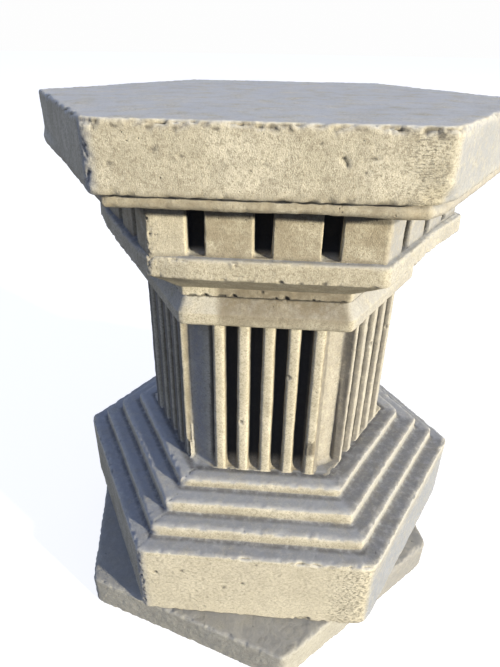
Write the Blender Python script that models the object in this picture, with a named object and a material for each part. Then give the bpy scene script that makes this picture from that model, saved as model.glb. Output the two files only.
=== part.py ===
"""Hexagonal fluted pedestal of cast stone on a loose hexagonal plinth slab.

Metres, +Z up. The origin is on the pedestal's axis, level with the underside of the slab.
The pedestal's six corners point to 0, 60, 120, 180, 240 and 300 degrees in plan, so one flat
face looks along -Y. A width is measured across two opposite flats.
"""
import math

import bmesh
import bpy
from mathutils import Matrix, Vector

SIDES = 6
HALF_SIDE_ANGLE = math.pi / SIDES

# Plinth slab, loose and turned under the pedestal
PLINTH_WIDTH = 0.4515
PLINTH_HEIGHT = 0.045
PLINTH_CORNER = 0.012
PLINTH_RIM = 0.004
PLINTH_TURN = math.radians(42.2)
PLINTH_SHIFT_X = -0.016
PLINTH_SHIFT_Y = -0.023
REST_GAP = 0.0003

# Base block and the three steps above it
BLOCK_WIDTH = 0.461
BLOCK_HEIGHT = 0.1041
BLOCK_CORNER = 0.007
BLOCK_RIM = 0.004
LOWER_STEP_WIDTH = 0.4176
MIDDLE_STEP_WIDTH = 0.3746
UPPER_STEP_WIDTH = 0.3266
LOWER_STEP_HEIGHT = 0.0171
MIDDLE_STEP_HEIGHT = 0.0171
UPPER_STEP_HEIGHT = 0.0131
STEPS = (
    (LOWER_STEP_WIDTH, LOWER_STEP_HEIGHT),
    (MIDDLE_STEP_WIDTH, MIDDLE_STEP_HEIGHT),
    (UPPER_STEP_WIDTH, UPPER_STEP_HEIGHT),
)
STEP_CORNER = 0.005
STEP_RIM = 0.003

# Shaft: its width is across the fronts of the ribs, and its corners are cut off flat
SHAFT_WIDTH = 0.2842
SHAFT_HEIGHT = 0.2014
FACET_SETBACK = 0.0161
FACET_WIDTH = 0.0272
RIBS_PER_FACE = 5
RIB_WIDTH = 0.0136
RIB_ROUND = 0.0045
FLUTE_DEPTH = 0.014
FLUTE_DRAFT = math.radians(8)
FLUTE_COVE = 0.016
FLUTE_TOP_LAND = 0.002
NOTCH_DEPTH = 0.0114
NOTCH_FLOOR = 0.0015

# Necking band, swelling downwards, and the thin fillet above it
NECK_FOOT_WIDTH = 0.292
NECK_BELLY_WIDTH = 0.304
NECK_TOP_WIDTH = 0.2845
NECK_HEIGHT = 0.0313
NECK_BELLY_HEIGHT = 0.0095
NECK_RIM = 0.005
NECK_CORNER = 0.009
FILLET_WIDTH = 0.2909
FILLET_HEIGHT = 0.0105
FILLET_CORNER = 0.003

# Fascia: a splayed underside, then a nearly upright band with a sloping ledge on top
SPLAY_HEIGHT = 0.0252
FASCIA_WIDTH = 0.375
FASCIA_TOP_WIDTH = 0.3732
FASCIA_HEIGHT = 0.0181
FASCIA_CORNER = 0.009
LEDGE_HEIGHT = 0.0016

# Dentil band: slots between the dentils, with a dentil wrapping each corner
DENTIL_BAND_WIDTH = 0.3626
DENTIL_BAND_HEIGHT = 0.0517
DENTIL_CORNER = 0.003
DENTIL_LENGTH = 0.0424
SLOTS_PER_FACE = 3
SLOT_WIDTH = 0.017
SLOT_DEPTH = 0.021
SLOT_DRAFT = math.radians(2)
SLOT_COVE = 0.018
SLOT_TOP_LAND = 0.004

# Bead, the crease above it and the top slab
BEAD_WIDTH = 0.4397
BEAD_HEIGHT = 0.009
BEAD_RIM = 0.0042
BEAD_CORNER = 0.006
CREASE_HEIGHT = 0.002
CREASE_WIDTH = 0.431
SLAB_WIDTH = 0.4595
SLAB_HEIGHT = 0.0558
SLAB_CORNER = 0.008
SLAB_TOP_RIM = 0.0025
SLAB_LOWER_RIM = 0.005

# How finely curves are stepped, and how far a cutter reaches out of the face
CORNER_STEPS = 3
ARC_STEPS = 2
COVE_STEPS = 4
COVE_END_ANGLE = math.radians(75)
CUT_CLEARANCE = 0.0003

STONE_COLOUR = (0.56, 0.51, 0.41, 1.0)
PLINTH_COLOUR = (0.48, 0.44, 0.37, 1.0)
STONE_ROUGHNESS = 0.9
SHARP_ANGLE = math.radians(40)


def clear_scene():
    """Remove every object that the new file starts with."""
    for thing in list(bpy.data.objects):
        bpy.data.objects.remove(thing, do_unlink=True)


def new_collection(name):
    """Return a new collection linked to the scene."""
    collection = bpy.data.collections.new(name)
    bpy.context.scene.collection.children.link(collection)
    return collection


def stone_material(name, colour):
    """Return a matt stone material of one plain colour."""
    material = bpy.data.materials.new(name)
    material.use_nodes = True
    shader = material.node_tree.nodes["Principled BSDF"]
    shader.inputs["Base Color"].default_value = colour
    shader.inputs["Roughness"].default_value = STONE_ROUGHNESS
    shader.inputs["Metallic"].default_value = 0.0
    return material


def lofted_mesh(name, rings):
    """Return the closed mesh whose skin runs through the rings, with flat ends."""
    shape = bmesh.new()
    loops = [[shape.verts.new(point) for point in ring] for ring in rings]
    for lower, upper in zip(loops, loops[1:]):
        for i, start in enumerate(lower):
            j = (i + 1) % len(lower)
            shape.faces.new((start, lower[j], upper[j], upper[i]))
    shape.faces.new(loops[0])
    shape.faces.new(loops[-1])
    bmesh.ops.recalc_face_normals(shape, faces=shape.faces)
    mesh = bpy.data.meshes.new(name)
    shape.to_mesh(mesh)
    shape.free()
    return mesh


def add_part(name, rings, material, collection):
    """Return a new part lofted through the rings."""
    part = bpy.data.objects.new(name, lofted_mesh(name, rings))
    part.data.materials.append(material)
    part.data.shade_smooth()
    part.data.set_sharp_from_angle(angle=SHARP_ANGLE)
    collection.objects.link(part)
    return part


def rounded_corner(width, radius, azimuth):
    """Return the plan points of one rounded corner of a hexagon, anticlockwise."""
    centre = Vector((math.cos(azimuth), math.sin(azimuth)))
    centre *= (width / 2 - radius) / math.cos(HALF_SIDE_ANGLE)
    shares = [step / CORNER_STEPS - 0.5 for step in range(CORNER_STEPS + 1)]
    angles = [azimuth + 2 * HALF_SIDE_ANGLE * share for share in shares]
    return [centre + radius * Vector((math.cos(angle), math.sin(angle))) for angle in angles]


def flat_corner(width, setback, azimuth):
    """Return the plan points of one corner of a hexagon cut off flat, anticlockwise."""
    outward = Vector((math.cos(azimuth), math.sin(azimuth)))
    along = Vector((-math.sin(azimuth), math.cos(azimuth)))
    middle = outward * (width / 2 / math.cos(HALF_SIDE_ANGLE) - setback)
    reach = setback / math.tan(HALF_SIDE_ANGLE)
    shares = [2 * step / CORNER_STEPS - 1 for step in range(CORNER_STEPS + 1)]
    return [middle + along * reach * share for share in shares]


def hexagon_ring(height, width, corner, corner_shape=rounded_corner):
    """Return the outline of the work at one height as points in space."""
    plan = []
    for side in range(SIDES):
        plan += corner_shape(width, corner, 2 * HALF_SIDE_ANGLE * side)
    return [(point.x, point.y, height) for point in plan]


def tier(levels, corner, corner_shape=rounded_corner):
    """Return the rings of one tier from its (height, width) levels."""
    return [hexagon_ring(height, width, corner, corner_shape) for height, width in levels]


def lower_rim(height, width, radius):
    """Return (height, width) levels that round the lower edge of a tier, going up."""
    angles = [math.pi / 2 * step / ARC_STEPS for step in range(ARC_STEPS + 1)]
    rises = [radius * (1 - math.cos(angle)) for angle in angles]
    insets = [radius * (1 - math.sin(angle)) for angle in angles]
    return [(height + rise, width - 2 * inset) for rise, inset in zip(rises, insets)]


def upper_rim(height, width, radius):
    """Return (height, width) levels that round the upper edge of a tier, going up."""
    return [(2 * height - low, inset) for low, inset in reversed(lower_rim(height, width, radius))]


def pedestal_heights():
    """Return the height of each joint line of the pedestal, from the ground up."""
    heights = {"underside": PLINTH_HEIGHT + REST_GAP}
    heights["block"] = heights["underside"] + BLOCK_HEIGHT
    heights["steps"] = heights["block"] + sum(height for _, height in STEPS)
    heights["shaft"] = heights["steps"] + SHAFT_HEIGHT
    heights["neck"] = heights["shaft"] + NECK_HEIGHT
    heights["fillet"] = heights["neck"] + FILLET_HEIGHT
    heights["splay"] = heights["fillet"] + SPLAY_HEIGHT
    heights["fascia"] = heights["splay"] + FASCIA_HEIGHT
    heights["ledge"] = heights["fascia"] + LEDGE_HEIGHT
    heights["dentils"] = heights["ledge"] + DENTIL_BAND_HEIGHT
    heights["bead"] = heights["dentils"] + BEAD_HEIGHT
    heights["crease"] = heights["bead"] + CREASE_HEIGHT
    heights["slab"] = heights["crease"] + SLAB_HEIGHT
    return heights


def base_rings(heights):
    """Return the rings of the base block and its steps."""
    block = lower_rim(heights["underside"], BLOCK_WIDTH, BLOCK_RIM)
    block += upper_rim(heights["block"], BLOCK_WIDTH, BLOCK_RIM)
    rings = tier(block, BLOCK_CORNER)
    foot = heights["block"]
    for width, height in STEPS:
        step = [(foot, width)] + upper_rim(foot + height, width, STEP_RIM)
        rings += tier(step, STEP_CORNER)
        foot += height
    return rings


def shaft_rings(heights):
    """Return the rings of the plain shaft, before it is fluted."""
    levels = [(heights["steps"], SHAFT_WIDTH), (heights["shaft"], SHAFT_WIDTH)]
    return tier(levels, FACET_SETBACK, flat_corner)


def neck_rings(heights):
    """Return the rings of the necking band and the fillet."""
    rim = lower_rim(heights["shaft"], NECK_BELLY_WIDTH, NECK_RIM)
    belly = heights["shaft"] + NECK_RIM + NECK_BELLY_HEIGHT
    neck = [(heights["shaft"], NECK_FOOT_WIDTH)] + rim[1:]
    neck += [(belly, NECK_BELLY_WIDTH), (heights["neck"], NECK_TOP_WIDTH)]
    fillet = [(heights["neck"], FILLET_WIDTH), (heights["fillet"], FILLET_WIDTH)]
    return tier(neck, NECK_CORNER) + tier(fillet, FILLET_CORNER)


def cornice_rings(heights):
    """Return the rings of the fascia, the plain dentil band, the bead and the top slab."""
    fascia = [(heights["splay"], FASCIA_WIDTH), (heights["fascia"], FASCIA_TOP_WIDTH)]
    band = [(heights["ledge"], DENTIL_BAND_WIDTH), (heights["dentils"], DENTIL_BAND_WIDTH)]
    bead = lower_rim(heights["dentils"], BEAD_WIDTH, BEAD_RIM)
    bead += upper_rim(heights["bead"], BEAD_WIDTH, BEAD_RIM)
    crease = [(heights["bead"], CREASE_WIDTH), (heights["crease"], CREASE_WIDTH)]
    slab = lower_rim(heights["crease"], SLAB_WIDTH, SLAB_LOWER_RIM)
    slab += upper_rim(heights["slab"], SLAB_WIDTH, SLAB_TOP_RIM)
    rings = tier(fascia, FASCIA_CORNER) + tier(band, DENTIL_CORNER)
    return rings + tier(bead + crease, BEAD_CORNER) + tier(slab, SLAB_CORNER)


def recess_half_section(mouth, depth, draft, rounding):
    """Return half of a recess's plan section as (offset, distance outside the face) points.

    The section runs from the floor out past the face. The mouth is the half width at which
    the flank would meet the face if the arris between them weren't rounded.
    """
    floor = (mouth - depth * math.tan(draft), -depth)
    if not rounding:
        return [floor, (mouth, CUT_CLEARANCE)]
    centre = Vector((mouth + rounding * math.tan((math.pi / 2 - draft) / 2), -rounding))
    sweep = math.pi / 2 - draft
    angles = [draft + sweep * step / (ARC_STEPS + 1) for step in range(ARC_STEPS + 1)]
    arc = [centre + rounding * Vector((-math.cos(angle), math.sin(angle))) for angle in angles]
    crest = centre + Vector((0.0, rounding))
    rise = crest - arc[-1]
    outside = crest + rise * (CUT_CLEARANCE / rise.y)
    return [floor] + [tuple(point) for point in arc] + [tuple(outside)]


def recess_rings(half_section, foot, top, cove):
    """Return the rings of a recess cutter whose floor curves out to the face at its foot.

    The face runs through the origin and looks along -Y.
    """
    angles = [COVE_END_ANGLE * step / COVE_STEPS for step in range(COVE_STEPS, -1, -1)]
    levels = [(foot + cove * (1 - math.sin(angle)), math.cos(angle)) for angle in angles]
    levels.append((top, 1.0))
    section = [(-x, y) for x, y in half_section] + half_section[::-1]
    rings = []
    for height, share in levels:
        rings.append([(x, -(y if y > 0 else y * share), height) for x, y in section])
    return rings


def cut_each_face(mesh, offsets, width, collection):
    """Place a cutter of this mesh on every face of a hexagon, at each offset along it."""
    for side in range(SIDES):
        turn = Matrix.Rotation(2 * HALF_SIDE_ANGLE * side, 4, "Z")
        for offset in offsets:
            cutter = bpy.data.objects.new(mesh.name, mesh)
            cutter.matrix_world = turn @ Matrix.Translation((offset, -width / 2, 0.0))
            cutter.hide_render = True
            cutter.display_type = "WIRE"
            collection.objects.link(cutter)


def add_flute_cutters(heights, collection):
    """Place the cutters of the flutes between the ribs and of the notches beside the facets."""
    facet_distance = SHAFT_WIDTH / 2 / math.cos(HALF_SIDE_ANGLE) - FACET_SETBACK
    facet_end = facet_distance * math.sin(HALF_SIDE_ANGLE)
    facet_end -= FACET_WIDTH / 2 * math.cos(HALF_SIDE_ANGLE)
    notch_middle = facet_end - NOTCH_FLOOR / 2
    notch_mouth = NOTCH_FLOOR / 2 + NOTCH_DEPTH * math.tan(FLUTE_DRAFT)
    outer_rib = notch_middle - notch_mouth - RIB_WIDTH / 2
    pitch = 2 * outer_rib / (RIBS_PER_FACE - 1)
    flute_mouth = (pitch - RIB_WIDTH) / 2
    foot = heights["steps"]
    top = heights["shaft"] - FLUTE_TOP_LAND
    flute = recess_half_section(flute_mouth, FLUTE_DEPTH, FLUTE_DRAFT, RIB_ROUND)
    notch = recess_half_section(notch_mouth, NOTCH_DEPTH, FLUTE_DRAFT, RIB_ROUND)
    flute_mesh = lofted_mesh("flute_cutter", recess_rings(flute, foot, top, FLUTE_COVE))
    notch_mesh = lofted_mesh("notch_cutter", recess_rings(notch, foot, top, FLUTE_COVE))
    offsets = [(rib + 0.5) * pitch - outer_rib for rib in range(RIBS_PER_FACE - 1)]
    cut_each_face(flute_mesh, offsets, SHAFT_WIDTH, collection)
    cut_each_face(notch_mesh, (-notch_middle, notch_middle), SHAFT_WIDTH, collection)


def add_dentil_cutters(heights, collection):
    """Place the cutters of the slots between the dentils."""
    section = recess_half_section(SLOT_WIDTH / 2, SLOT_DEPTH, SLOT_DRAFT, 0.0)
    top = heights["dentils"] - SLOT_TOP_LAND
    mesh = lofted_mesh("slot_cutter", recess_rings(section, heights["ledge"], top, SLOT_COVE))
    pitch = DENTIL_LENGTH + SLOT_WIDTH
    offsets = [(slot - (SLOTS_PER_FACE - 1) / 2) * pitch for slot in range(SLOTS_PER_FACE)]
    cut_each_face(mesh, offsets, DENTIL_BAND_WIDTH, collection)


def build_pedestal(material, parts, cutters):
    """Build the pedestal: one casting with its flutes and dentil slots cut in."""
    heights = pedestal_heights()
    rings = base_rings(heights) + shaft_rings(heights) + neck_rings(heights)
    rings += cornice_rings(heights)
    pedestal = add_part("pedestal", rings, material, parts)
    add_flute_cutters(heights, cutters)
    add_dentil_cutters(heights, cutters)
    carving = pedestal.modifiers.new("carving", "BOOLEAN")
    carving.operation = "DIFFERENCE"
    carving.solver = "EXACT"
    carving.operand_type = "COLLECTION"
    carving.collection = cutters


def build_plinth(material, parts):
    """Build the loose plinth slab, turned and shifted under the pedestal."""
    levels = lower_rim(0.0, PLINTH_WIDTH, PLINTH_RIM)
    levels += upper_rim(PLINTH_HEIGHT, PLINTH_WIDTH, PLINTH_RIM)
    plinth = add_part("plinth_slab", tier(levels, PLINTH_CORNER), material, parts)
    plinth.location = (PLINTH_SHIFT_X, PLINTH_SHIFT_Y, 0.0)
    plinth.rotation_euler = (0.0, 0.0, PLINTH_TURN)


def main():
    """Build the pedestal and its plinth slab."""
    clear_scene()
    parts = new_collection("hexagonal_pedestal")
    cutters = new_collection("cutters")
    build_pedestal(stone_material("cast_stone", STONE_COLOUR), parts, cutters)
    build_plinth(stone_material("plinth_stone", PLINTH_COLOUR), parts)


if __name__ == "__main__":
    main()
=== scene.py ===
"""Looks of a hexagonal fluted pedestal of cast stone on a loose hexagonal plinth slab."""
import logging
import math
from collections.abc import Callable, Sequence
from dataclasses import dataclass, field
from enum import Enum
from functools import partial

import bmesh
import bpy
import numpy as np
from mathutils import Matrix, Vector


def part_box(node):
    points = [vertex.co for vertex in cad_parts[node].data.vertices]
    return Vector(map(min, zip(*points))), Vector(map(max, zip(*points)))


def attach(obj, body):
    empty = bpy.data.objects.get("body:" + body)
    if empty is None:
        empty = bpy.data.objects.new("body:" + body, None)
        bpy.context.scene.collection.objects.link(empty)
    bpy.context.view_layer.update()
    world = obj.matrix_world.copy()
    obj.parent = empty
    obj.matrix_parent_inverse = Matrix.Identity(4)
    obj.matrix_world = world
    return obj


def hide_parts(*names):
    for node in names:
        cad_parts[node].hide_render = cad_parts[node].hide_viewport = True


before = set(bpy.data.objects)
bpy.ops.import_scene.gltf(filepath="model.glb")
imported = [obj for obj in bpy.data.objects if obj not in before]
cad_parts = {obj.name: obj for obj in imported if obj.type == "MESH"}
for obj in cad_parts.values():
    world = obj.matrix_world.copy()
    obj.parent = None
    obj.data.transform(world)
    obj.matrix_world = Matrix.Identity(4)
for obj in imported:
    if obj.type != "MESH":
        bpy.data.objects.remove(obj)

LOG = logging.getLogger("pedestal")
SIDES = 6
HALF_SIDE_ANGLE = math.pi / SIDES
OVERLAP = 0.0015
CUT_CLEARANCE = 0.003
LEVEL_TOLERANCE = 1e-5
SMALLEST_CHIP = 0.0011
SMALLEST_PIT = 0.0009
LEFT_CORNER, ROUGH_CORNER, BLUNT_CORNER, RIGHT_CORNER = 180.0, -120.0, -60.0, 0.0

Point = tuple[float, float, float]
Colour = tuple[float, float, float, float]
Array = np.ndarray
Piece = bpy.types.Object
Tree = bpy.types.NodeTree
Socket = bpy.types.NodeSocket
Masks = dict[str, np.ndarray]
Covered = tuple[float, float]


class Side(Enum):
    """A face of the pedestal, by the azimuth in degrees that it looks along."""

    FRONT = -90.0
    FRONT_RIGHT = -30.0
    BACK_RIGHT = 30.0
    BACK = 90.0
    BACK_LEFT = 150.0
    FRONT_LEFT = -150.0

    @property
    def normal(self) -> Vector:
        """Return the direction that the face looks along."""
        angle = math.radians(self.value)
        return Vector((math.cos(angle), math.sin(angle), 0.0))

    @property
    def along(self) -> Vector:
        """Return the direction along the face, to the right for someone looking at it."""
        return Vector((-self.normal.y, self.normal.x, 0.0))

    def point(self, width: float, along: float, height: float) -> Vector:
        """Return a point on the face of a tier of this width.

        Args:
            width: The tier's width across flats.
            along: How far to the right of the face's middle the point is.
            height: The point's height above the ground.

        Returns:
            The point in the row frame.
        """
        return self.normal * (width / 2) + self.along * along + Vector((0.0, 0.0, height))


def same(first: float, second: float) -> bool:
    """Return whether two lengths are the same, apart from rounding."""
    return abs(first - second) < LEVEL_TOLERANCE


def activate(piece: Piece) -> None:
    """Select this piece alone and make it the active one."""
    bpy.ops.object.select_all(action="DESELECT")
    piece.select_set(True)
    bpy.context.view_layer.objects.active = piece


def pick(piece: Piece, kind: str, test: Callable[[list[Vector]], bool]) -> None:
    """Select the edges or faces whose corners pass a test, in edit mode.

    Args:
        piece: The piece in edit mode.
        kind: "EDGE" or "FACE".
        test: Takes the places of an edge's or face's corners and says whether it is wanted.
    """
    bpy.ops.mesh.select_mode(type=kind)
    bpy.ops.mesh.select_all(action="DESELECT")
    shape = bmesh.from_edit_mesh(piece.data)
    for element in shape.edges if kind == "EDGE" else shape.faces:
        if test([corner.co for corner in element.verts]):
            element.select_set(True)
    bmesh.update_edit_mesh(piece.data)


def round_edges(offset: float, segments: int = 4) -> None:
    """Round the selected edges, in edit mode."""
    bpy.ops.mesh.bevel(offset=offset, segments=segments, profile=0.5, affect="EDGES")


def finish_modifier(piece: Piece, name: str, kind: str, **settings: object) -> None:
    """Add a modifier to the piece with these settings and apply it."""
    activate(piece)
    modifier = piece.modifiers.new(name, kind)
    for key, value in settings.items():
        setattr(modifier, key, value)
    bpy.ops.object.modifier_apply(modifier=name)


def join(pieces: Sequence[Piece], name: str) -> Piece:
    """Join pieces into the first of them, which takes the name."""
    activate(pieces[0])
    for piece in pieces:
        piece.select_set(True)
    bpy.ops.object.join()
    pieces[0].name = name
    return pieces[0]


@dataclass(frozen=True)
class Tier:
    """One hexagonal tier, modelled from a six-sided primitive.

    Widths are across flats. A tier reaches a little into its neighbours, by OVERLAP.
    """

    foot: float
    top: float
    width: float
    corner: float
    top_width: float | None = None
    lower_rim: float = 0.0
    upper_rim: float = 0.0

    def build(self, name: str) -> Piece:
        """Return the tier as a closed solid with rounded corners and rims."""
        upper = self.width if self.top_width is None else self.top_width
        reach = 1 / (2 * math.cos(HALF_SIDE_ANGLE))
        bpy.ops.object.select_all(action="DESELECT")
        bpy.ops.mesh.primitive_cone_add(
            vertices=SIDES, radius1=self.width * reach, radius2=upper * reach,
            depth=self.top - self.foot, location=(0, 0, (self.top + self.foot) / 2),
            rotation=(0, 0, HALF_SIDE_ANGLE))
        tier = bpy.context.object
        tier.name = name
        bpy.ops.object.transform_apply(location=True, rotation=True, scale=True)
        bpy.ops.object.mode_set(mode="EDIT")
        pick(tier, "EDGE", lambda ends: abs(ends[0].z - ends[1].z) > (self.top - self.foot) / 2)
        round_edges(self.corner * math.tan(HALF_SIDE_ANGLE))
        for level, rim in ((self.foot, self.lower_rim), (self.top, self.upper_rim)):
            if rim:
                pick(tier, "EDGE", lambda ends: all(same(end.z, level) for end in ends))
                round_edges(rim)
        bpy.ops.object.mode_set(mode="OBJECT")
        return tier


@dataclass(frozen=True)
class Recess:
    """A cutter for an upright recess whose floor curves out to the face at its foot."""

    mouth: float
    depth: float
    draft: float
    cove: float
    rounding: float
    foot: float
    top: float

    def build(self, name: str, width: float) -> Piece:
        """Return the cutter, set in the front face of a tier of this width."""
        face = -width / 2
        start = self.rounding * (1 - math.sin(self.draft))
        floor = self.mouth - 2 * self.depth * math.tan(self.draft)
        bpy.ops.object.select_all(action="DESELECT")
        bpy.ops.mesh.primitive_cube_add(
            size=1, location=(0, face + (self.depth + start) / 2, (self.foot + self.top) / 2),
            scale=(floor, self.depth - start, self.top - self.foot))
        cutter = bpy.context.object
        cutter.name = name
        bpy.ops.object.transform_apply(location=True, rotation=True, scale=True)
        bpy.ops.object.mode_set(mode="EDIT")
        back = face + self.depth
        round_cove = min(self.cove, (self.depth - start) * 0.9)
        self._stretch(round_cove / self.cove, back)
        pick(cutter, "EDGE", lambda ends: all(
            same(end.y, back) and same(end.z, self.foot) for end in ends))
        round_edges(round_cove, 8)
        self._stretch(self.cove / round_cove, back)
        outer = face + start
        pick(cutter, "FACE", lambda ends: all(same(end.y, outer) for end in ends))
        half = self.mouth / 2 - start * math.tan(self.draft)
        self._widen(2 * half / floor, outer)
        if self.rounding:
            self._flare(half, outer)
        self._step_out(CUT_CLEARANCE, 1.0, face)
        bpy.ops.object.mode_set(mode="OBJECT")
        return cutter

    def _stretch(self, share: float, y: float) -> None:
        """Stretch the whole cutter upwards from its foot by a share."""
        bpy.ops.mesh.select_all(action="SELECT")
        bpy.ops.transform.resize(value=(1, 1, share), center_override=(0, y, self.foot))

    def _widen(self, share: float, y: float) -> None:
        """Widen the selected face by a share about the cutter's middle plane."""
        bpy.ops.transform.resize(value=(share, 1, 1), center_override=(0, y, 0))

    def _step_out(self, step: float, share: float, y: float) -> None:
        """Extrude the selected face outwards by a step, then widen it by a share."""
        bpy.ops.mesh.extrude_region_move(TRANSFORM_OT_translate={"value": (0, -step, 0)})
        self._widen(share, y - step)

    def _flare(self, half: float, y: float) -> None:
        """Step the mouth out along a quarter round, which rounds the arrises beside it."""
        steps = 4
        centre = half + self.rounding * math.cos(self.draft)
        before, depth = half, self.rounding * (1 - math.sin(self.draft))
        for step in range(1, steps + 1):
            angle = self.draft + (math.pi / 2 - self.draft) * step / (steps + 0.6)
            now = centre - self.rounding * math.cos(angle)
            level = self.rounding * (1 - math.sin(angle))
            self._step_out(depth - level, now / before, y)
            y -= depth - level
            before, depth = now, level


MASKS = ("grime", "wear", "dark", "upturned", "shade", "brown", "grey", "lined")
FACE_TURNS = tuple(60.0 * side for side in range(SIDES))


def cut_all_round(piece: Piece,
                  cutters: Sequence[tuple[Piece, float, Sequence[float]]]) -> None:
    """Cut recesses into a hexagonal piece from all round it.

    Args:
        piece: The piece to cut.
        cutters: A cutter set in the middle of the front face, its offset to the right, and the
            turns about the axis, in degrees, that its copies take.
    """
    copies = []
    for cutter, offset, turns in cutters:
        for turn in turns:
            turned = Matrix.Rotation(math.radians(turn), 4, "Z")
            mesh = cutter.data.copy()
            mesh.transform(turned @ Matrix.Translation((offset, 0.0, 0.0)))
            copy = bpy.data.objects.new("cutter", mesh)
            bpy.context.scene.collection.objects.link(copy)
            copies.append(copy)
    for cutter in {cutter for cutter, _, _ in cutters}:
        bpy.data.objects.remove(cutter)
    joined = join(copies, "cutters")
    finish_modifier(piece, "carving", "BOOLEAN", operation="DIFFERENCE", solver="EXACT",
                    object=joined)
    bpy.data.objects.remove(joined)


class Grit:
    """Seeded smooth noise for points in space."""

    CELLS = 48

    def __init__(self, seed: int) -> None:
        """Fill the noise tables from the seed."""
        source = np.random.default_rng(seed)
        self.table = source.random((self.CELLS,) * 3)
        self.shifts = source.random((self.CELLS, self.CELLS, self.CELLS, 5))

    def smooth(self, points: Array, size: float) -> Array:
        """Return smooth noise from -1 to 1 whose bumps are about size apart."""
        scaled = points / size + 7.3
        base = np.floor(scaled).astype(int)
        share = scaled - base
        share = share * share * (3 - 2 * share)
        total = np.zeros(len(points))
        for corner in range(8):
            step = np.array([(corner >> bit) & 1 for bit in range(3)])
            i, j, k = ((base + step) % self.CELLS).T
            weight = np.prod(np.where(step, share, 1 - share), axis=1)
            total += weight * self.table[i, j, k]
        return 2 * total - 1

    def rough(self, points: Array, size: float, octaves: int = 3) -> Array:
        """Return rough noise from about -1 to 1 that adds finer and weaker bumps."""
        total, weight = np.zeros(len(points)), 1.0
        for octave in range(octaves):
            total += weight * self.smooth(points + 0.37 * octave, size / 2 ** octave)
            weight /= 2
        return total / 1.4

    def wobble(self, points: Array) -> Array:
        """Return fine rough noise with a different value for each of the three directions."""
        return np.stack([self.rough(points + shift, 0.0045, 2) for shift in (0.0, 0.31, 0.62)], 1)

    def holes(self, points: Array, cell: float, share: float, radius: float) -> Array:
        """Return how deep each point lies in scattered round holes.

        Args:
            points: The points.
            cell: How far apart holes are at most places that have one.
            share: The share of places that have a hole.
            radius: The largest hole's radius.

        Returns:
            From 0 outside the holes to 1 in the middle of the largest.
        """
        scaled = points / cell
        base = np.floor(scaled).astype(int)
        deepest = np.zeros(len(points))
        for corner in range(27):
            step = np.array([corner % 3, corner // 3 % 3, corner // 9]) - 1
            i, j, k = ((base + step) % self.CELLS).T
            facts = self.shifts[i, j, k]
            centre = (base + step + facts[:, :3]) * cell
            size = radius * (0.35 + 0.65 * facts[:, 3] ** 2)
            inside = 1 - (np.linalg.norm(points - centre, axis=1) / size) ** 2
            depth = np.where(facts[:, 4] < share, np.clip(inside, 0, 1) * size / radius, 0)
            deepest = np.maximum(deepest, depth)
        return deepest


def near_only(points: Array, wobble: Array, middle: Vector, reach: float,
              share: Callable[[Array, Array], Array]) -> Array:
    """Return the share for points within reach of a middle, and 0 for all others."""
    close = np.flatnonzero(np.abs(points[:, 0] - middle.x) < reach)
    close = close[np.abs(points[close, 1] - middle.y) < reach]
    close = close[np.abs(points[close, 2] - middle.z) < reach]
    result = np.zeros(len(points))
    result[close] = share(points[close], wobble[close])
    return result


@dataclass(frozen=True)
class Spot:
    """A round or stretched mark: a pit where depth is positive, a nib where it is negative."""

    point: Vector
    radius: float
    depth: float
    stretch: Vector = field(default_factory=lambda: Vector((0.0, 0.0, 0.0)))

    def share(self, points: Array, wobble: Array) -> Array:
        """Return how far each point is in the mark, from 0 to 1."""
        return near_only(points, wobble, self.point, self.stretch.length + 2 * self.radius,
                         self._share)

    def _share(self, points: Array, wobble: Array) -> Array:
        """Return how far each nearby point is in the mark."""
        start = np.array(self.point - self.stretch)
        line = np.array(2 * self.stretch)
        place = np.zeros(len(points))
        if line.any():
            place = np.clip((points - start) @ line / (line @ line), 0, 1)
        distance = np.linalg.norm(points - start - place[:, None] * line, axis=1)
        return np.clip(1.25 - (distance / self.radius * (1 + 0.45 * wobble[:, 0])) ** 2, 0, 1)


@dataclass(frozen=True)
class Crack:
    """A thin line along a run of points, cut in where depth is positive and raised elsewhere."""

    points: tuple[Vector, ...]
    width: float
    depth: float
    wander: float = 0.0015
    broken: float = 0.0

    def share(self, points: Array, wobble: Array) -> Array:
        """Return how far each point is in the line, from 0 to 1."""
        middle = sum(self.points, Vector()) / len(self.points)
        furthest = max((point - middle).length for point in self.points)
        reach = furthest + 2 * (self.width + self.wander)
        return near_only(points, wobble, middle, reach, self._share)

    def _share(self, points: Array, wobble: Array) -> Array:
        """Return how far each nearby point is in the line."""
        nearest = np.full(len(points), 1.0)
        points = points + self.wander * wobble
        for start, end in zip(self.points, self.points[1:]):
            line = np.array(end - start)
            away = points - np.array(start)
            place = np.clip(away @ line / (line @ line), 0, 1)
            nearest = np.minimum(nearest, np.linalg.norm(away - place[:, None] * line, axis=1))
        strength = np.clip(1.2 - nearest / self.width, 0, 1)
        if self.broken:
            strength = strength * np.clip((wobble[:, 1] + 1 - self.broken) * 4, 0, 1)
        return strength


def flat_crack(height: float, *places: tuple[float, float], width: float = 0.0009,
               depth: float = 0.0014, wander: float = 0.0022) -> Crack:
    """Return a crack across a level face at this height, through places seen from above."""
    return Crack(tuple(Vector((*place, height)) for place in places), width, depth, wander)


Marks = list[Spot | Crack]


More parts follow.
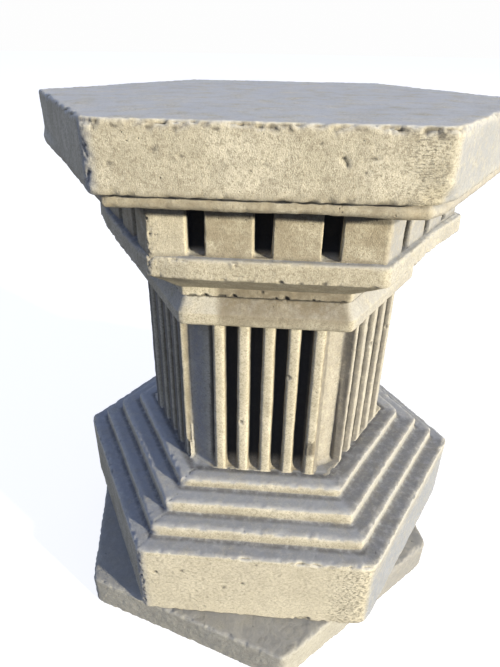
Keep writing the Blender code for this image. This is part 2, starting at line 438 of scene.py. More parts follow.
def edge_chips(seed: int, width: float, height: float, count: int, biggest: float,
               sides: Sequence[Side] = tuple(Side), span: tuple[float, float] = (-1.0, 1.0),
               drop: float = 0.0012) -> Marks:
    """Return chips scattered along the upper or lower edge of a hexagonal tier.

    Args:
        seed: Fixes where the chips are.
        width: The tier's width across flats.
        height: The edge's height.
        count: How many chips each side has.
        biggest: The largest chip's radius.
        sides: The sides that are chipped.
        span: Where the chips start and end, as shares of half a side's length.
        drop: How far above and below the edge they are.

    Returns:
        The chips as marks.
    """
    source = np.random.default_rng(seed)
    reach = width / 2 * math.tan(HALF_SIDE_ANGLE)
    chips: Marks = []
    for side in sides:
        for along, lift, size, stretch in source.random((count, 4)):
            radius = SMALLEST_CHIP + (biggest - SMALLEST_CHIP) * size ** 3
            place = (span[0] + (span[1] - span[0]) * along) * reach
            centre = side.point(width, place, height + (2 * lift - 1) * drop)
            chips.append(Spot(centre, radius, 0.75 * radius, side.along * (1.6 * radius * stretch)))
    return chips


def corner_chips(seed: int, reach: float, low: float, high: float, count: int,
                 biggest: float) -> Marks:
    """Return small pits scattered up the rough front-left corner of a tier.

    Args:
        seed: Fixes where the pits are.
        reach: The corner's distance from the axis.
        low: The height of the corner's foot.
        high: The height of its top.
        count: How many pits there are.
        biggest: The largest pit's radius.

    Returns:
        The pits as marks.
    """
    source = np.random.default_rng(seed)
    azimuth = math.radians(ROUGH_CORNER)
    out = Vector((math.cos(azimuth), math.sin(azimuth), 0))
    across = Vector((-out.y, out.x, 0))
    pits: Marks = []
    for lift, aside, size in source.random((count, 3)):
        radius = SMALLEST_PIT + (biggest - SMALLEST_PIT) * size ** 2
        height = Vector((0, 0, low + (high - low) * lift))
        centre = out * reach + across * (0.004 * aside - 0.001) + height
        pits.append(Spot(centre, radius, 0.9 * radius))
    return pits


@dataclass(frozen=True)
class Weathering:
    """How a piece of cast stone is worn, pitted and stained. Lengths are in metres.

    Bends and marks of the depths full_bend and full_mark take their full dirt, painted shade or
    wear.
    """

    seed: int
    voxel: float
    triangles: int
    wear: float = 0.5
    rounds: int = 5
    chips: float = 1.0
    seam: float = 1.0
    ragged: float = 0.0011
    swell: float = 0.0006
    lumps: float = 0.0002
    grain: float = 0.00010
    hole_share: float = 0.10
    hole_cell: float = 0.016
    hole_radius: float = 0.0021
    hole_depth: float = 0.0013
    stain_rounds: int = 9
    full_bend: float = 0.0012
    full_mark: float = 0.0012

    def shape(self, piece: Piece, marks: Marks,
              warp: Callable[[Array], Array], hidden: Sequence[Covered], node: str) -> None:
        """Remesh the clean piece finely and wear it down.

        Args:
            piece: The clean piece.
            marks: The marks to cut in or raise.
            warp: Moves the fine mesh's points to follow the casting's irregular shape.
            hidden: Heights and widths of the flat faces that neighbours cover, which stay flat.
            node: The CAD node whose box the piece stays in.
        """
        finish_modifier(piece, "even_mesh", "REMESH", mode="VOXEL", voxel_size=self.voxel)
        points, normals = read_mesh(piece)
        grit = Grit(self.seed)
        edges = edge_ends(piece)
        soft = relaxed(points, edges, self.rounds)
        convex = np.clip(-((soft - points) * normals).sum(1) / self.voxel, 0, 1)
        patchy = grit.rough(points, 0.020, 4)
        seam = self.seam * seam_share(points) * step_up(np.abs(normals[:, 2]), 0.8, 0.5)
        rough = 0.9 * self.chips * np.clip(patchy - 0.12, 0, 1)
        bite = np.clip(self.wear + rough + 0.8 * seam, 0, 2.2)
        points = points + (soft - points) * (bite * np.clip(3 * convex, 0, 1))[:, None]
        edge = np.clip(4 * convex, 0, 1) * self.chips
        bitten = np.clip(1.3 * grit.rough(points, 0.0062, 3) - 0.05 + 0.5 * patchy, -0.3, 1.2)
        height = self.swell * grit.rough(points, 0.07, 2)
        height += self.lumps * grit.rough(points, 0.014, 3)
        height += self.grain * (1 + 5 * seam) * grit.rough(points, 0.0042, 2)
        height -= self.ragged * (edge + 0.5 * seam) * bitten
        height -= self.hole_depth * grit.holes(points, self.hole_cell, self.hole_share,
                                               self.hole_radius)
        wobble = grit.wobble(points)
        for mark in marks:
            height -= mark.depth * mark.share(points, wobble)
        points = warp(points + normals * (height * (1 - covered(points, hidden)))[:, None])
        low, high = (np.array(corner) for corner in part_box(node))
        write_mesh(piece, np.clip(points, low, high))
        count = len(piece.data.polygons) * 2
        if count > self.triangles:
            finish_modifier(piece, "thin_out", "DECIMATE", ratio=self.triangles / count)
        bpy.ops.object.shade_smooth()

    def stain(self, piece: Piece, marks: Marks,
              patina: Callable[[Array, Array], Masks]) -> None:
        """Write the surface's dirt, painted shade, wear, marks and upturn, for its finish.

        Args:
            piece: The worn piece.
            marks: The marks that were cut in.
            patina: Gives the piece's own masks from its points and normals.
        """
        points, normals = read_mesh(piece)
        grit = Grit(self.seed)
        soft = relaxed(points, edge_ends(piece), self.stain_rounds)
        bend = ((soft - points) * normals).sum(1) / self.full_bend
        wobble = grit.wobble(points)
        dark = np.zeros(len(points))
        for mark in marks:
            if mark.depth > 0:
                strength = min(1.0, mark.depth / self.full_mark)
                dark = np.maximum(dark, mark.share(points, wobble) * strength)
        # Concave bends take dirt and painted shade, convex ones wear; cut-in marks get dirt and
        # painted shade.
        masks = {"grime": np.clip(bend, 0, 1), "wear": np.clip(-bend, 0, 1), "dark": dark,
                 "upturned": np.clip(normals[:, 2] * 1.3 - 0.2, 0, 1)}
        own = patina(points, normals)
        for name in MASKS:
            values = masks.get(name, np.zeros(len(points)))
            if name in own:
                values = values * own[name] if name == "upturned" else np.maximum(values, own[name])
            store(piece, name, np.clip(values, 0, 1))


def read_mesh(piece: Piece) -> tuple[Array, Array]:
    """Return the places and normals of the piece's vertices."""
    count = len(piece.data.vertices)
    points, normals = np.zeros(count * 3), np.zeros(count * 3)
    piece.data.vertices.foreach_get("co", points)
    piece.data.vertices.foreach_get("normal", normals)
    return points.reshape(-1, 3), normals.reshape(-1, 3)


def write_mesh(piece: Piece, points: Array) -> None:
    """Move the piece's vertices to these places."""
    piece.data.vertices.foreach_set("co", points.ravel())
    piece.data.update()


def edge_ends(piece: Piece) -> Array:
    """Return the two vertex numbers of every edge."""
    ends = np.zeros(len(piece.data.edges) * 2, np.int32)
    piece.data.edges.foreach_get("vertices", ends)
    return ends.reshape(-1, 2)


def relaxed(points: Array, edges: Array, rounds: int) -> Array:
    """Return the points after rounds of moving each one halfway to its neighbours' middle."""
    own, other = np.r_[edges[:, 0], edges[:, 1]], np.r_[edges[:, 1], edges[:, 0]]
    count = np.maximum(np.bincount(own, minlength=len(points)), 1)[:, None]
    for _ in range(rounds):
        sums = [np.bincount(own, weights=points[other, axis], minlength=len(points))
                for axis in range(3)]
        points = 0.5 * points + 0.5 * np.stack(sums, 1) / count
    return points


def store(piece: Piece, name: str, values: Array) -> None:
    """Store one number for each vertex under a name that the finishes read."""
    attribute = piece.data.attributes.new(name, "FLOAT", "POINT")
    attribute.data.foreach_set("value", values.astype(np.float32))


def apothem(points: Array) -> Array:
    """Return how far each point is from the axis, measured square to the nearest face."""
    normals = np.array([side.normal for side in Side])
    return (points @ normals.T).max(1)


def seam_share(points: Array) -> Array:
    """Return how near each point is to the rough mould seam at the front-left corner."""
    azimuth = math.radians(ROUGH_CORNER)
    across = np.abs(points[:, 0] * -math.sin(azimuth) + points[:, 1] * math.cos(azimuth))
    outward = points[:, 0] * math.cos(azimuth) + points[:, 1] * math.sin(azimuth)
    return np.clip(1.3 - across / 0.007, 0, 1) * (outward > 0)


def step_up(values: Array, low: float, high: float) -> Array:
    """Return 0 at low and 1 at high with a smooth rise between them; low may be the greater."""
    share = np.clip((values - low) / (high - low), 0, 1)
    return share * share * (3 - 2 * share)


def covered(points: Array, hidden: Sequence[Covered]) -> Array:
    """Return 1 for points on flat faces that neighbours cover, given by height and width."""
    share = np.zeros(len(points))
    reach = apothem(points)
    for height, width in hidden:
        near = np.abs(points[:, 2] - height) < 0.0012
        share = np.maximum(share, near * step_up(width / 2 - reach, 0.0, 0.003))
    return share


def near_corner(points: Array, azimuth: float, reach: float) -> Array:
    """Return 1 at this azimuth and 0 beyond reach, both in degrees."""
    angle = np.degrees(np.arctan2(points[:, 1], points[:, 0]))
    return step_up(np.abs((angle - azimuth + 180) % 360 - 180), reach, 0.0)


def outwards(points: Array, amount: Array) -> Array:
    """Return the points moved away from the axis by an amount each."""
    flat = points * (1.0, 1.0, 0.0)
    return points + flat / np.maximum(np.linalg.norm(flat, axis=1), 1e-6)[:, None] * amount[:, None]


def on_side(points: Array, side: Side) -> Array:
    """Return 1 for points that belong to this face, 0 for others, and a blend at its corners."""
    others = np.array([other.normal for other in Side if other is not side])
    return step_up(points @ np.array(side.normal) - (points @ others.T).max(1), -0.004, 0.008)


def slide(points: Array, side: Side, amount: float, left: tuple[float, float],
          right: tuple[float, float]) -> Array:
    """Slide the carving of one face along it.

    Args:
        points: The points of the piece.
        side: The face.
        amount: How far to slide it, to the right where positive.
        left: Where the slide begins and where it is whole, along the face.
        right: Where the slide is last whole and where it ends.

    Returns:
        The moved points.
    """
    along = points @ np.array(side.along)
    share = step_up(along, *left) * step_up(along, right[1], right[0]) * on_side(points, side)
    return points + amount * share[:, None] * np.array(side.along)


def put(tree: Tree, kind: str, links: dict | None = None, **settings: object) -> bpy.types.Node:
    """Add a node to a tree.

    Args:
        tree: The node tree.
        kind: The node's type.
        links: What goes into each input, by its name or number: a socket or a plain value.
        settings: The node's own settings.

    Returns:
        The new node.
    """
    node = tree.nodes.new(kind)
    for key, value in settings.items():
        setattr(node, key, value)
    for key, value in (links or {}).items():
        if isinstance(value, Socket):
            tree.links.new(value, node.inputs[key])
        else:
            node.inputs[key].default_value = value
    return node


def ramp(tree: Tree, value: Socket, low: float, high: float) -> Socket:
    """Return a socket that goes smoothly from 0 at low to 1 at high."""
    return put(tree, "ShaderNodeMapRange", {"Value": value, "From Min": low, "From Max": high},
               interpolation_type="SMOOTHSTEP").outputs["Result"]


def blend(tree: Tree, share: object, first: object, second: object,
          mode: str = "MIX") -> Socket:
    """Return a socket that mixes two colours by a share."""
    return put(tree, "ShaderNodeMix", {0: share, 6: first, 7: second},
               data_type="RGBA", blend_type=mode).outputs[2]


def times(tree: Tree, first: object, second: object) -> Socket:
    """Return a socket that multiplies two numbers."""
    return put(tree, "ShaderNodeMath", {0: first, 1: second}, operation="MULTIPLY").outputs[0]


def noise(tree: Tree, place: object, scale: float, detail: float, rough: float) -> Socket:
    """Return a socket with noise from 0 to 1 at this scale."""
    return put(tree, "ShaderNodeTexNoise", {"Vector": place, "Scale": scale, "Detail": detail,
                                            "Roughness": rough}).outputs["Fac"]


def patch(tree: Tree, place: object, look: tuple[float, float, float],
          low: float, high: float) -> Socket:
    """Return a socket with patches of noise, of this scale, detail and roughness."""
    return ramp(tree, noise(tree, place, *look), low, high)


def new_group(name: str, inputs: dict[str, tuple[str, object]], outputs: dict[str, str]) -> Tree:
    """Return a new shader node group with these sockets, and its two end nodes in it."""
    tree = bpy.data.node_groups.new(name, "ShaderNodeTree")
    for socket, (kind, default) in inputs.items():
        made = tree.interface.new_socket(socket, in_out="INPUT", socket_type=kind)
        made.default_value = default
    for socket, kind in outputs.items():
        tree.interface.new_socket(socket, in_out="OUTPUT", socket_type=kind)
    return tree


class StoneEffects:
    """The node groups that both stones share."""

    def __init__(self) -> None:
        """Build the three groups."""
        self.body = self._body()
        self.weather = self._weather()
        self.relief = self._relief()

    def _body(self) -> Tree:
        """Return the group that mottles the stone's body from three colours."""
        colour = "NodeSocketColor"
        inputs = {tone: (colour, (1, 1, 1, 1)) for tone in ("Pale", "Mid", "Deep")}
        tree = new_group("stone_body", inputs, {"Color": colour})
        entry = put(tree, "NodeGroupInput")
        place = put(tree, "ShaderNodeTexCoord").outputs["Object"]
        broad = patch(tree, place, (16, 5, 0.6), 0.36, 0.66)
        base = blend(tree, broad, entry.outputs["Mid"], entry.outputs["Pale"])
        patches, specks = (55, 6, 0.65), (420, 4, 0.8)
        flecks, sand = (640, 2, 0.6), (880, 2, 0.6)
        for look, low, high, amount, tone in (
                (patches, 0.40, 0.68, 0.40, "Deep"), (specks, 0.44, 0.66, 0.85, "Deep"),
                (flecks, 0.54, 0.70, 0.7, "Pale"), (sand, 0.58, 0.70, 0.8, "Deep")):
            share = times(tree, patch(tree, place, look, low, high), amount)
            base = blend(tree, share, base, entry.outputs[tone])
        put(tree, "NodeGroupOutput", {"Color": base})
        return tree

    def _weather(self) -> Tree:
        """Return the group that adds dust, brown and grey tones, dirt, painted shade, worn edges
        and dark marks.
        """
        colour, number = "NodeSocketColor", "NodeSocketFloat"
        tones = ("Color", "Dust", "Grime", "Worn", "Brown", "Grey", "Shade")
        inputs = {tone: (colour, (1, 1, 1, 1)) for tone in tones}
        inputs.update({"Dust Amount": (number, 0.6), "Dirt And Shade Amount": (number, 1.0)})
        tree = new_group("stone_weather", inputs, {"Color": colour, "Roughness": number})
        entry = put(tree, "NodeGroupInput")
        place = put(tree, "ShaderNodeTexCoord").outputs["Object"]
        masks = {name: put(tree, "ShaderNodeAttribute", attribute_name=name).outputs["Fac"]
                 for name in MASKS if name != "lined"}
        uneven = patch(tree, place, (38, 6, 0.65), 0.25, 0.6)
        dust = times(tree, times(tree, masks["upturned"], uneven), entry.outputs["Dust Amount"])
        base = blend(tree, dust, entry.outputs["Color"], entry.outputs["Dust"])
        patchy = patch(tree, place, (75, 6, 0.7), 0.22, 0.64)
        base = blend(tree, times(tree, masks["brown"], patchy), base, entry.outputs["Brown"])
        mottled = patch(tree, place, (150, 6, 0.7), 0.1, 0.6)
        base = blend(tree, times(tree, masks["grey"], mottled), base, entry.outputs["Grey"])
        base = blend(tree, times(tree, masks["wear"], 0.4), base, entry.outputs["Worn"])
        # Hollows and cut marks take dirt and painted shade; the shade mask paints near-black shade.
        streaks = patch(tree, place, (120, 5, 0.7), 0.1, 0.6)
        grime = times(tree, times(tree, masks["grime"], streaks), entry.outputs["Dirt And Shade Amount"])
        base = blend(tree, grime, base, entry.outputs["Grime"])
        base = blend(tree, times(tree, masks["dark"], 0.75), base, entry.outputs["Grime"])
        base = blend(tree, masks["shade"], base, entry.outputs["Shade"])
        rough = put(tree, "ShaderNodeMapRange",
                    {"Value": masks["wear"], "To Min": 0.93, "To Max": 0.8})
        put(tree, "NodeGroupOutput", {"Color": base, "Roughness": rough.outputs["Result"]})
        return tree

    def _relief(self) -> Tree:
        """Return the group that gives the finest relief: sandy grain and small blow holes."""
        number = "NodeSocketFloat"
        tree = new_group("stone_relief", {"Holes": (number, 0.5)},
                         {"Height": number, "Hole": number, "Line": number})
        entry = put(tree, "NodeGroupInput")
        place = put(tree, "ShaderNodeTexCoord").outputs["Object"]
        sand = noise(tree, place, 900, 4, 0.7)
        lumps = noise(tree, place, 210, 4, 0.6)
        cells = put(tree, "ShaderNodeTexVoronoi", {"Vector": place, "Scale": 210.0}, feature="F1")
        round_hole = ramp(tree, cells.outputs["Distance"], 0.22, 0.10)
        where = patch(tree, place, (48, 4, 0.7), 0.57, 0.66)
        hole = times(tree, times(tree, round_hole, where), entry.outputs["Holes"])
        flat = put(tree, "ShaderNodeMapping",
                   {"Vector": place, "Scale": (1.0, 1.0, 3.6)}).outputs["Vector"]
        line = times(tree, patch(tree, flat, (230, 3, 0.6), 0.53, 0.62),
                     put(tree, "ShaderNodeAttribute", attribute_name="lined").outputs["Fac"])
        height = put(tree, "ShaderNodeMath",
                     {0: times(tree, sand, 0.55), 1: times(tree, lumps, 0.4)},
                     operation="ADD").outputs[0]
        for cut, depth in ((hole, 1.2), (line, 0.9)):
            height = put(tree, "ShaderNodeMath", {0: height, 1: times(tree, cut, depth)},
                         operation="SUBTRACT").outputs[0]
        put(tree, "NodeGroupOutput", {"Height": height, "Hole": hole, "Line": line})
        return tree


@dataclass(frozen=True)
class StoneFinish:
    """A cast-stone finish: its body colours, what lies on it and its relief."""

    name: str
    pale: Colour
    mid: Colour
    deep: Colour
    dust: Colour
    grime: Colour
    worn: Colour
    brown: Colour
    grey: Colour
    shade: Colour = (0.012, 0.0135, 0.016, 1)
    dust_amount: float = 0.8
    dirt_and_shade_amount: float = 0.85
    holes: float = 0.7
    relief: float = 1.25

    def material(self, effects: StoneEffects) -> bpy.types.Material:
        """Return the finish as a material that uses the shared groups."""
        material = bpy.data.materials.new(self.name)
        material.use_nodes = True
        tree = material.node_tree
        tree.nodes.clear()
        body = put(tree, "ShaderNodeGroup", node_tree=effects.body)
        for socket, colour in (("Pale", self.pale), ("Mid", self.mid), ("Deep", self.deep)):
            body.inputs[socket].default_value = colour
        relief = put(tree, "ShaderNodeGroup", node_tree=effects.relief)
        relief.inputs["Holes"].default_value = self.holes
        # Blow holes and lines are darkened: dirt and painted shade.
        holed = blend(tree, times(tree, relief.outputs["Hole"], 0.6), body.outputs["Color"],
                      self.grime)
        holed = blend(tree, times(tree, relief.outputs["Line"], 0.72), holed, self.grime)
        weather = put(tree, "ShaderNodeGroup", node_tree=effects.weather)
        tree.links.new(holed, weather.inputs["Color"])
        for socket, value in (("Dust", self.dust), ("Grime", self.grime), ("Worn", self.worn),
                              ("Brown", self.brown), ("Grey", self.grey), ("Shade", self.shade),
                              ("Dust Amount", self.dust_amount),
                              ("Dirt And Shade Amount", self.dirt_and_shade_amount)):
            weather.inputs[socket].default_value = value
        bump = put(tree, "ShaderNodeBump", {
            "Height": relief.outputs["Height"], "Strength": self.relief, "Distance": 0.0010})
        shader = put(tree, "ShaderNodeBsdfPrincipled", {
            "Base Color": weather.outputs["Color"], "Roughness": weather.outputs["Roughness"],
            "Normal": bump.outputs["Normal"], "Specular IOR Level": 0.25})
        put(tree, "ShaderNodeOutputMaterial", {"Surface": shader.outputs["BSDF"]})
        return material


@dataclass
class Casting:
    """What every sub-assembly of the pedestal shares: a name, a node, a slot and its wear."""

    name: str = "casting"
    node: str = "pedestal"
    slot: str = "pedestal_stone"
    hidden: tuple[Covered, ...] = ()
    weathering: Weathering = Weathering(1, 0.002, 100000)

    def model(self) -> Piece:
        """Return the clean piece."""
        raise NotImplementedError

    def marks(self) -> Marks:
        """Return the marks on the piece."""
        return []

    def warp(self, points: Array) -> Array:
        """Return the points moved to follow the casting's irregular shape."""
        return points

    def patina(self, points: Array, normals: Array) -> Masks:
        """Return the piece's own masks by name, with the sunny side's grey: patina and painted
        shade.
        """
        return {"grey": 0.5 * on_side(points, Side.FRONT_RIGHT)}

    def build(self, material: bpy.types.Material) -> Piece:
        """Model, wear and dress the piece, and make it stand for its node."""
        piece = self.model()
        marks = self.marks()
        self.weathering.shape(piece, marks, self.warp, self.hidden, self.node)
        self.weathering.stain(piece, marks, self.patina)
        piece.data.materials.clear()
        piece.data.materials.append(material)
        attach(piece, "root")
        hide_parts(self.node)
        count = sum(len(face.vertices) - 2 for face in piece.data.polygons)
        LOG.info("%s: %d triangles", piece.name, count)
        return piece


@dataclass
class TopSlab(Casting):
    """The plain slab on top, with its ragged upper edge."""

    name: str = "top_slab"
    foot: float = 0.5475
    top: float = 0.6029
    width: float = 0.4595
    corner: float = 0.008
    lower_rim: float = 0.005
    upper_rim: float = 0.0025
    hidden: tuple[Covered, ...] = ((0.5475, 0.425),)
    weathering: Weathering = Weathering(11, 0.0019, 190000, chips=1.3, ragged=0.0014)

    def model(self) -> Piece:
        """Return the clean slab."""
        return Tier(self.foot, self.top, self.width, self.corner,
                    lower_rim=self.lower_rim, upper_rim=self.upper_rim).build(self.name)

    def marks(self) -> Marks:
        """Return the crack at the left, the chips along the upper edge and the gouges."""
        at = partial(Side.FRONT.point, self.width)
        marks: Marks = [
            Crack((at(-0.1205, 0.604), at(-0.1212, 0.600), at(-0.1228, 0.5955)),
                  0.0011, 0.0022, 0.0008),
            Spot(at(0.1125, 0.6012), 0.0034, 0.0016, Vector((0.003, 0, 0.001))),
            Spot(at(0.1175, 0.5985), 0.0026, 0.0009, Vector((0.0015, 0, -0.0015))),
            Spot(at(0.1235, 0.6005), 0.0022, 0.0013),
            Spot(at(0.0565, 0.578), 0.0016, 0.0020, Vector((0.0018, 0, -0.0026))),
            Spot(at(-0.0803, 0.5828), 0.0026, 0.0006), Spot(at(-0.061, 0.5786), 0.0009, 0.0013),
            Spot(at(-0.1143, 0.5722), 0.0018, 0.0007), Spot(at(0.0763, 0.5802), 0.0015, 0.0014),
            Spot(at(0.0711, 0.5706), 0.0013, 0.0010), Spot(at(0.1065, 0.5588), 0.0011, 0.0010),
            Spot(at(0.0382, 0.5901), 0.0012, 0.0010), Spot(at(0.0655, 0.5518), 0.0013, 0.0010),
            Crack((at(0.0598, 0.5797), at(0.0763, 0.5802)), 0.0009, 0.0008, broken=1.0),
            Crack((at(-0.0216, 0.5878), at(-0.0089, 0.5864)), 0.0008, 0.0006),
            Crack((at(-0.0009, 0.5758), at(0.0072, 0.5691)), 0.0009, 0.0007)]
        for seed, below, count, biggest, span, drop in (
                (22, 0.0020, 15, 0.0021, (-0.14, 0.12), 0.0020),
                (23, 0.0030, 16, 0.0017, (-1.0, -0.45), 0.0035),
                (35, 0.0020, 46, 0.0015, (-1.0, 1.0), 0.0040),
                (40, 0.0020, 16, 0.0020, (0.55, 0.97), 0.0035)):
            marks += edge_chips(seed, self.width, self.top - below, count, biggest,
                                (Side.FRONT,), span, drop)
        marks += corner_chips(36, 0.2642, self.foot + 0.004, self.top, 26, 0.0019)
        return marks + edge_chips(21, self.width, self.top, 24, 0.0034)

    def warp(self, points: Array) -> Array:
        """Return the points with the lower rim fuller at the left and blunt at the front right."""
        full = 0.0035 * near_corner(points, LEFT_CORNER, 40)
        blunt = 0.0060 * near_corner(points, BLUNT_CORNER, 4.5)
        return outwards(points, step_up(points[:, 2], 0.566, 0.552) * (full - blunt))

    def patina(self, points: Array, normals: Array) -> Masks:
        """Return the front's lined right end, brown rims, grey seam and the sunny side's grey."""
        across = points[:, 0] + 0.01 * (points[:, 2] - self.foot) / (self.top - self.foot)
        lined = 0.32 * on_side(points, Side.FRONT) * step_up(across, 0.098, 0.114)
        upright, right = normals[:, 2] < 0.6, on_side(points, Side.FRONT_RIGHT)
        # The sunny side's grey is patina and painted shade that dims its bright light.
        grey = np.maximum(0.8 * right, 0.7 * seam_share(points)) * upright
        brown = np.maximum(0.55 * step_up(points[:, 2], 0.5600, 0.5475),
                           0.45 * step_up(points[:, 2], 0.590, 0.601) * upright)
        return {"lined": lined * (normals[:, 2] < 0.5), "grey": grey, "brown": brown * (1 - right)}


@dataclass
class Bead(Casting):
    """The thin bead under the slab, with the crease above it, lower towards the right."""

    name: str = "bead"
    foot: float = 0.5353
    top: float = 0.5465
    width: float = 0.4397
    corner: float = 0.006
    rim: float = 0.0052
    crease_top: float = 0.5475
    crease_width: float = 0.431
    hidden: tuple[Covered, ...] = ((0.5353, 0.3565), (0.549, 0.45))
    weathering: Weathering = Weathering(12, 0.0012, 42000, rounds=3, seam=0.4, ragged=0.0022)

    def warp(self, points: Array) -> Array:
        """Return the points with the bead wavy, full at the left, low and proud at the right."""
        right = step_up(points[:, 0], 0.02, 0.19) * (points[:, 1] < 0)
        rim = step_up(self.top + 0.0006 - points[:, 2], -0.001, 0.002)
        full = 0.0016 * near_corner(points, LEFT_CORNER, 40)
        blunt = 0.0050 * near_corner(points, BLUNT_CORNER, 5)
        moved = outwards(points, rim * (0.0022 * right + full - blunt))
        wave = 0.0004 * Grit(31).rough(points * (1.0, 1.0, 0.0), 0.03, 3)
        moved[:, 2] += rim * (wave - 0.0022 * right)
        return moved

    def patina(self, points: Array, normals: Array) -> Masks:
        """Return the painted shade in the crease, which fades out at the front right."""
        depth = step_up(self.width / 2 - apothem(points), 0.0026, 0.0040)
        depth = depth * (points[:, 2] > self.top - 0.003)
        right = on_side(points, Side.FRONT_RIGHT)
        fading = step_up(points[:, 0], 0.125, 0.070)
        # The sunny side's grey is patina and painted shade.
        return {"shade": 0.55 * depth * (0.25 + 0.75 * fading) * (1 - 0.5 * right),
                "grey": 0.5 * right,
                "brown": 0.75 + 0.25 * step_up(points[:, 2], self.foot + 0.005, self.foot + 0.001),
                "grime": 0.12 * (1 - right)}

    def model(self) -> Piece:
        """Return the clean bead with the neck of the crease above it."""
        bead = Tier(self.foot, self.top, self.width, self.corner,
                    lower_rim=self.rim, upper_rim=self.rim).build(self.name)
        neck = Tier(self.foot + self.rim, self.crease_top + OVERLAP, self.crease_width,
                    self.corner).build("crease")
        return join([bead, neck], self.name)


@dataclass
class DentilBand(Casting):
    """The band of dentils, three slots to a face."""

    name: str = "dentil_band"
    foot: float = 0.4848
    top: float = 0.5365
    width: float = 0.3626
    corner: float = 0.003
    dentil: float = 0.0424
    slots: int = 3
    slot_width: float = 0.017
    slot_depth: float = 0.021
    slot_draft: float = math.radians(2)
    slot_cove: float = 0.018
    slot_land: float = 0.004
    slot_round: float = 0.0012
    lap: float = 0.005
    hidden: tuple[Covered, ...] = ((0.4798, 0.40), (0.538, 0.40))
    weathering: Weathering = Weathering(13, 0.0012, 125000, rounds=3, ragged=0.0009)

    def model(self) -> Piece:
        """Return the clean band with its slots cut."""
        band = Tier(self.foot - self.lap, self.top + OVERLAP, self.width,
                    self.corner).build(self.name)
        recess = Recess(self.slot_width, self.slot_depth, self.slot_draft, self.slot_cove,
                        self.slot_round, self.foot, self.top - self.slot_land)
        pitch = self.dentil + self.slot_width
        slot = recess.build("slot", self.width)
        cut_all_round(band, [(slot, (place - (self.slots - 1) / 2) * pitch, FACE_TURNS)
                             for place in range(self.slots)])
        return band

    def marks(self) -> Marks:
        """Return the pits up the rough corner."""
        return corner_chips(37, 0.2088, self.foot, self.top, 16, 0.0016)

    def warp(self, points: Array) -> Array:
        """Return the points with the slots of the front face a little to the left."""
        return slide(points, Side.FRONT, -0.0026, (-0.092, -0.072), (0.072, 0.092))

    def patina(self, points: Array, normals: Array) -> Masks:
        """Return the slots' painted shade, the bead's painted shadow under it and the browner
        faces.
        """
        depth = self.width / 2 - apothem(points)
        # The bead's shadow on the upper band is painted as shade.
        under = step_up(points[:, 2], self.top - 0.0185, self.top - 0.0155)
        foot = step_up(points[:, 2], self.foot + 0.004, self.foot)
        shown = step_up(depth, 0.006, 0.002)
        # The sunny side's grey is patina and painted shade.
        right = on_side(points, Side.FRONT_RIGHT) * shown
        cove = step_up(points[:, 2], self.foot - 0.001, self.foot + 0.005)
        clean = on_side(points, Side.FRONT) * step_up(points[:, 0], -0.060, -0.075)
        inner = depth + 0.0045 * on_side(points, Side.FRONT_RIGHT)
        slots = 0.97 * step_up(inner, 0.0055, 0.0110) * cove
        return {"shade": np.maximum(slots, 0.62 * under), "grime": 0.45 * foot, "wear": 0.7 * clean,
                "brown": 0.72 * shown * (1 - 0.85 * clean), "grey": 0.7 * right}


@dataclass
class Fascia(Casting):
    """The fascia with its splayed underside and sloping ledge."""

    name: str = "fascia"
    foot: float = 0.4399
    splay_top: float = 0.4651
    top: float = 0.4832
    ledge_top: float = 0.4848
    splay_foot_width: float = 0.2909
    width: float = 0.375
    top_width: float = 0.3732
    ledge_width: float = 0.3626
    corner: float = 0.009
    rim: float = 0.0015
    splay_lap: float = 0.0005
    hidden: tuple[Covered, ...] = ((0.4384, 0.30), (0.4848, 0.3556))
    weathering: Weathering = Weathering(14, 0.0014, 95000, rounds=4)

    def model(self) -> Piece:
        """Return the clean fascia."""
        splay = Tier(self.foot - OVERLAP, self.splay_top, self.splay_foot_width, self.corner / 2,
                     top_width=self.width).build("splay")
        band = Tier(self.splay_top - self.splay_lap, self.top, self.width, self.corner,
                    top_width=self.top_width, upper_rim=self.rim).build(self.name)
        ledge = Tier(self.top - OVERLAP, self.ledge_top, self.top_width - 2 * self.rim, self.corner,
                     top_width=self.ledge_width).build("ledge")
        return join([band, splay, ledge], self.name)

    def marks(self) -> Marks:
        """Return the nib, the pit beside it and the scratches."""
        at = partial(Side.FRONT.point, self.width)
        return [Spot(at(-0.0287, 0.4797), 0.0026, -0.0010),
                Spot(at(-0.0258, 0.4795), 0.0016, 0.0014),
                Crack((at(-0.0275, 0.4692), at(-0.018, 0.4697), at(-0.0057, 0.4706)),
                      0.0009, 0.0008, broken=0.8),
                *edge_chips(24, self.width, self.splay_top, 7, 0.0026),
                *edge_chips(25, self.top_width, self.top, 8, 0.0022),
                *corner_chips(38, 0.2142, self.splay_top - 0.012, self.top, 14, 0.0017)]

    def warp(self, points: Array) -> Array:
        """Return the points with the left corners blunt and the right one proud and lower."""
        right = near_corner(points, RIGHT_CORNER, 24)
        outer = step_up(apothem(points), 0.150, 0.178)
        left = 0.0042 * near_corner(points, LEFT_CORNER, 16)
        blunt = left + 0.0044 * near_corner(points, ROUGH_CORNER, 11)
        moved = outwards(points, outer * (0.0028 * right - blunt))
        moved[:, 2] -= 0.0022 * right * outer
        return moved

    def patina(self, points: Array, normals: Array) -> Masks:
        """Return the debris on the ledge, the browner splay and the sunny side's grey."""
        ledge = step_up(points[:, 2], self.top - 0.0004, self.top + 0.0008)
        right = on_side(points, Side.FRONT_RIGHT)
        # The splay's brown and the sunny side's grey are stone tone and painted shade.
        return {"grime": 0.5 * ledge, "grey": np.maximum(0.5 * right, 0.8 * ledge),
                "brown": 0.18 + 0.3 * step_up(points[:, 2], self.splay_top + 0.002,
                                              self.splay_top - 0.002)}


